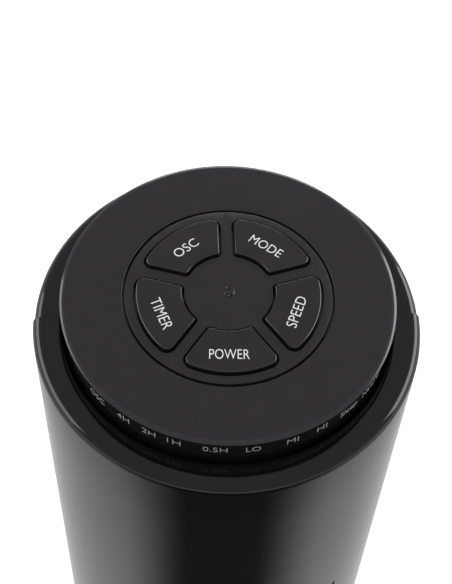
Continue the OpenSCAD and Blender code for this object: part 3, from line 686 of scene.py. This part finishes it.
def make_shells():
    seam = 0.12

    def front_open(a, z):
        return abs(a + 90) < OUTLET_HALF and GRILLE_LOW < z < GRILLE_HIGH

    angles = even(-180 + seam, -seam, [-90 - OUTLET_HALF, -90 + OUTLET_HALF])
    make_shell("front_casing", FRONT_R, SHOULDER_Z, angles, front_open, "front_shell")

    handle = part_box("carry_handle")
    half = math.degrees(math.asin((handle[1].x - RECESS_EDGE) / REAR_R))

    def rear_open(a, z):
        if abs(a - 90) < INTAKE_HALF and GRILLE_LOW < z < GRILLE_HIGH:
            return True
        return abs(a - 90) < half and handle[0].z + RECESS_EDGE < z < handle[1].z - RECESS_EDGE

    stops = [90 - INTAKE_HALF, 90 + INTAKE_HALF, 90 - half, 90 + half]
    angles = even(seam, 180 - seam, stops)
    make_shell("rear_casing", REAR_R, SHOULDER_Z - 0.25 * MM, angles, rear_open, "rear_shell")


def make_grille(name, middle, half, radius, depth, upright, upright_t, rings, ring_t, node):
    """Curved frame, upright fins and thin cross rings."""
    frame_a, frame_h, fit = 3.2, 5 * MM, 0.25
    a0, a1 = middle - half + fit, middle + half - fit
    boxes = []

    def curved(inner, outer, start, end, z0, z1):
        steps = max(1, round((end - start) / 3))
        for i in range(steps):
            p, q = start + (end - start) * i / steps, start + (end - start) * (i + 1) / steps
            boxes.append([polar(inner, p, z0), polar(inner, q, z0), polar(outer, q, z0), polar(outer, p, z0),
                          polar(inner, p, z1), polar(inner, q, z1), polar(outer, q, z1), polar(outer, p, z1)])

    for z0, z1 in ((GRILLE_LOW, GRILLE_LOW + frame_h), (GRILLE_HIGH - frame_h, GRILLE_HIGH)):
        curved(radius - depth / 2, radius, a0, a1, z0, z1)
    for start, end in ((a0, a0 + frame_a), (a1 - frame_a, a1)):
        curved(radius - depth / 2, radius, start, end, GRILLE_LOW + frame_h, GRILLE_HIGH - frame_h)
    for i in range(1, rings + 1):
        z = GRILLE_LOW + (GRILLE_HIGH - GRILLE_LOW) * i / (rings + 1)
        back, front = radius - depth, radius - 0.6 * depth
        curved(back, front, a0 + frame_a, a1 - frame_a, z - ring_t / 2, z + ring_t / 2)
    for i in range(1, upright + 1):
        a = a0 + frame_a / 2 + (a1 - a0 - frame_a) * i / (upright + 1)
        out, side = polar(1, a), polar(1, a + 90) * upright_t / 2
        inner, outer = out * (radius - depth), out * (radius - 0.3 * MM)
        z0, z1 = Vector((0, 0, GRILLE_LOW + 2 * MM)), Vector((0, 0, GRILLE_HIGH - 2 * MM))
        corners = [inner - side, inner + side, outer + side * 0.6, outer - side * 0.6]
        boxes.append([c + z0 for c in corners] + [c + z1 for c in corners])
    verts, faces = bars(boxes)
    piece(name, verts, faces, SATIN, "column", [node], 40)


def make_grilles():
    front_r = high("front_shell").x - 0.5 * MM
    rear_r = high("rear_shell").x - 0.4 * MM
    make_grille("outlet_grille", -90, OUTLET_HALF, front_r, 5.5 * MM, 19, 1.8 * MM, 4, 2 * MM, "front_grille")
    make_grille("intake_grille", 90, INTAKE_HALF, rear_r, 4 * MM, 27, 1.8 * MM, 41, 1.4 * MM, "rear_grille")


# ---------------------------------------------------------------- base


def make_base():
    flat, rim_h = 82 * MM, 14 * MM
    dome = []
    cz = (flat ** 2 + BASE_TOP ** 2 - BASE_R ** 2 - rim_h ** 2) / (2 * (BASE_TOP - rim_h))
    sweep = math.hypot(BASE_R, rim_h - cz)
    for i in range(25):
        r = flat + (BASE_R - 3.2 * MM - flat) * i / 24
        dome.append((r, cz + math.sqrt(sweep ** 2 - r ** 2)))
    wall = 2.5 * MM
    hole = 41 * MM
    skirt_z = 12 * MM
    top = [(hole, BASE_TOP), (62.4 * MM, BASE_TOP), (62.8 * MM, BASE_TOP - 0.6 * MM),
           (63.6 * MM, BASE_TOP - 0.6 * MM), (64 * MM, BASE_TOP), (72 * MM, BASE_TOP)]
    side = arc(BASE_R - 4 * MM, rim_h - 2.6 * MM, 4 * MM, 38, 0, 6)
    foot = [(BASE_R, skirt_z), (BASE_R, BASE_LOW + 0.6 * MM), (BASE_R - 0.6 * MM, BASE_LOW)]
    outer = top + dome + side + foot
    inner = [(max(hole, r - wall * 0.8), max(BASE_LOW, z - wall)) for r, z in outer]
    inlet_half = 2.0
    angles = even(-90, 270, [90 - inlet_half, 90 + inlet_half], 2.5)
    grid_out = [[polar(r, a, z) for r, z in outer] for a in angles]
    grid_in = [[polar(r, a, z) for r, z in inner] for a in angles]

    def kept(i, j):
        a = (angles[i] + angles[i + 1]) / 2
        z = (outer[j][1] + outer[j + 1][1]) / 2
        return not (abs(a - 90) < inlet_half and z < skirt_z and j < len(outer) - 2)

    verts, faces = thick_sheet(grid_out, grid_in, kept, True)
    piece("base_casing", verts, faces, GLOSS, "base", ["base_cover"], 40)
    make_grommet()


def make_grommet():
    """The rubber bush in the base that takes the mains lead."""
    bore, centre_z = 3.2 * MM, (low("cord_inlet").z + high("cord_inlet").z) / 2
    outline = round_corners([(bore, -6 * MM), (6.2 * MM, -6 * MM), (6.2 * MM, -3 * MM), (4.6 * MM, -3 * MM),
                             (4.6 * MM, -0.2 * MM), (6.0 * MM, -0.2 * MM), (5.4 * MM, 1.0 * MM),
                             (bore, 1.0 * MM)], 0.4 * MM)
    verts, faces = revolve(outline, 64)
    turn = Matrix.Rotation(math.radians(-90), 3, "X")
    shift = Vector((0, BASE_R, centre_z))
    placed = [turn @ v + shift for v in verts]
    piece("cord_grommet", placed, faces, RUBBER, "base", ["cord_inlet"], 50)


# ---------------------------------------------------------------- studio


def softbox(name, place, target, size, radiance):
    width, height = size
    data = bpy.data.lights.new(name, "AREA")
    data.shape = "RECTANGLE"
    data.size, data.size_y = width, height
    data.energy = radiance * width * height * math.pi
    lamp = bpy.data.objects.new(name, data)
    bpy.context.scene.collection.objects.link(lamp)
    lamp.location = place
    lamp.rotation_euler = (Vector(target) - Vector(place)).to_track_quat("-Z", "Y").to_euler()
    lamp.visible_camera = False


def make_studio():
    world = bpy.data.worlds.new("studio")
    world.use_nodes = True
    world.node_tree.nodes["Background"].inputs["Color"].default_value = (1.0, 0.985, 1.0, 1)
    world.node_tree.nodes["Background"].inputs["Strength"].default_value = 0.45
    bpy.context.scene.world = world

    top = PANEL_Z
    softbox("left_softbox", (-1.3, 0.3, top + 0.45), (0, 0, top), (1.5, 0.7), 2.6)
    softbox("right_softbox", (1.25, 0.45, top + 0.42), (0, 0, top), (1.4, 0.7), 3.8)
    softbox("back_softbox", (0.1, 1.5, top + 0.3), (0, 0, top), (0.9, 0.12), 9.0)

    sun = bpy.data.lights.new("overhead", "SUN")
    sun.energy = 2.0
    sun.angle = math.radians(50)
    lamp = bpy.data.objects.new("overhead", sun)
    lamp.rotation_euler = (math.radians(12), math.radians(-8), 0)
    lamp.visible_glossy = False
    bpy.context.scene.collection.objects.link(lamp)

    floor = finish("floor", (0.95, 0.95, 0.95), 0.6, patch=0.2, tone=0.004)
    reach = 14
    stage_piece("floor", square(reach, -0.5 * MM), floor)
    make_backdrop(reach * 0.95)
    flag = stage_piece("soft_flag", square(2.5, 3 * MM), flag_material())
    flag.visible_camera = False
    flag.visible_diffuse = False
    flag.visible_shadow = False


# The soft-edged flag: two tones, and its half widths as shares of a turn about the column
FLAG_DARK = 0.045
FLAG_PALE = 0.65
FLAG_DARK_HALF = 0.055
FLAG_PALE_FROM = 0.19


def make_backdrop(radius):
    """A plain white wall far behind the fan that only the camera sees."""
    n = Nodes("backdrop")
    n.join(n.colours(n.noise(2.0), (0.98, 0.98, 0.98), (1, 1, 1)), n.shader.inputs["Emission Color"])
    n.shader.inputs["Emission Strength"].default_value = 1.1
    for turn in range(0, 360, 30):
        left, right = polar(radius, turn - 15), polar(radius, turn + 15)
        rise = Vector((0, 0, 12))
        wall = stage_piece("backdrop", [left, right, right + rise, left + rise], n.material)
        wall.visible_diffuse = False
        wall.visible_glossy = False
        wall.visible_shadow = False


def flag_material():
    """Dark ahead of the fan and pale at its sides, with a smooth change between."""
    n = Nodes("soft_flag")
    gradient = n.add("ShaderNodeTexGradient", gradient_type="RADIAL")
    n.join(n.place, gradient.inputs["Vector"])
    ramp = n.add("ShaderNodeValToRGB")
    ramp.color_ramp.interpolation = "EASE"
    ahead = 0.25
    stops = [(ahead - FLAG_PALE_FROM, FLAG_PALE), (ahead - FLAG_DARK_HALF, FLAG_DARK),
             (ahead + FLAG_DARK_HALF, FLAG_DARK), (ahead + FLAG_PALE_FROM, FLAG_PALE)]
    elements = ramp.color_ramp.elements
    while len(elements) < len(stops):
        elements.new(0.9)
    for element, (place, tone) in zip(elements, stops):
        element.position = place
        element.color = (tone, tone, tone, 1)
    n.join(gradient.outputs["Fac"], ramp.inputs["Fac"])
    n.join(ramp.outputs["Color"], n.shader.inputs["Emission Color"])
    n.shader.inputs["Emission Strength"].default_value = 1.0
    n.shader.inputs["Base Color"].default_value = (0, 0, 0, 1)
    n.shader.inputs["Specular IOR Level"].default_value = 0.0
    return n.material


def square(half, z):
    return [(-half, -half, z), (half, -half, z), (half, half, z), (-half, half, z)]


def stage_piece(name, corners, material):
    mesh = bpy.data.meshes.new(name)
    mesh.from_pydata(corners, [], [(0, 1, 2, 3)])
    mesh.materials.append(material)
    made = bpy.data.objects.new(name, mesh)
    bpy.context.scene.collection.objects.link(made)
    return made


def make_camera():
    """Looks down at the panel from above the front, rolled a little, as the picture was taken."""
    azimuth, elevation, roll = (math.radians(a) for a in (-4.3, 55.55, 3.0))
    distance, aim_right, aim_up = 0.5048, -0.001, 0.0009
    back = Vector((math.sin(azimuth) * math.cos(elevation), -math.cos(azimuth) * math.cos(elevation),
                   math.sin(elevation)))
    level = Vector((math.cos(azimuth), math.sin(azimuth), 0))
    upright = back.cross(level)
    right = level * math.cos(roll) + upright * math.sin(roll)
    up = upright * math.cos(roll) - level * math.sin(roll)
    data = bpy.data.cameras.new("camera")
    data.sensor_width = 36
    data.lens = 81.1
    camera = bpy.data.objects.new("camera", data)
    bpy.context.scene.collection.objects.link(camera)
    place = Vector((0, 0, PANEL_Z)) + back * distance + right * aim_right + up * aim_up
    turn = Matrix((right, up, back)).transposed().to_4x4()
    camera.matrix_world = Matrix.Translation(place) @ turn
    bpy.context.scene.camera = camera


def main():
    make_camera()
    dress_frame()
    make_disc()
    make_plate()
    make_gate_mark()
    make_keys()
    make_band()
    make_shells()
    make_grilles()
    make_base()
    make_studio()
    bpy.context.scene.view_settings.view_transform = "Standard"


main()
